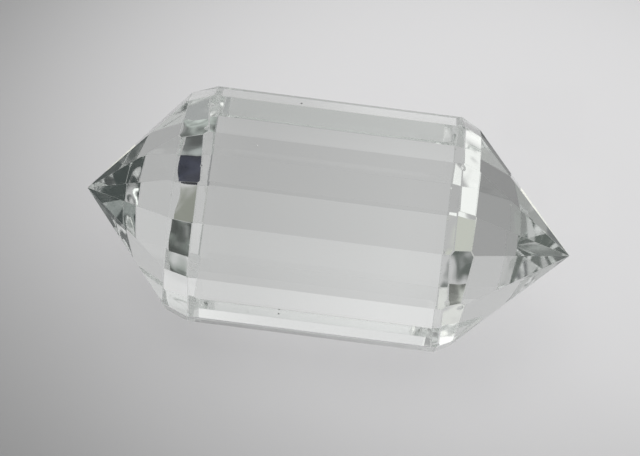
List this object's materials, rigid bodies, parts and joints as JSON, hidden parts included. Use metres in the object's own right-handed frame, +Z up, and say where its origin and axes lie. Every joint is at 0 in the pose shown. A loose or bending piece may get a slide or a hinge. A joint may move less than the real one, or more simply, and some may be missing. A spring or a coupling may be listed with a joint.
{
  "type": "double terminated quartz point",
  "caption": "Clear rock crystal cut to a many-sided prism with a faceted point at each end, lying on one long side.",
  "frame": {"origin": "on the surface that the crystal lies on, under the middle of its box", "axes": "+X along the crystal towards its sharper point, +Y to its far side, +Z up"},
  "size_m": [0.03, 0.0146, 0.0142],
  "materials": {
    "clear_quartz": "clear, hand polished"
  },
  "bodies": {
    "root": {"quartz_point": "clear_quartz"}
  },
  "joints": []
}
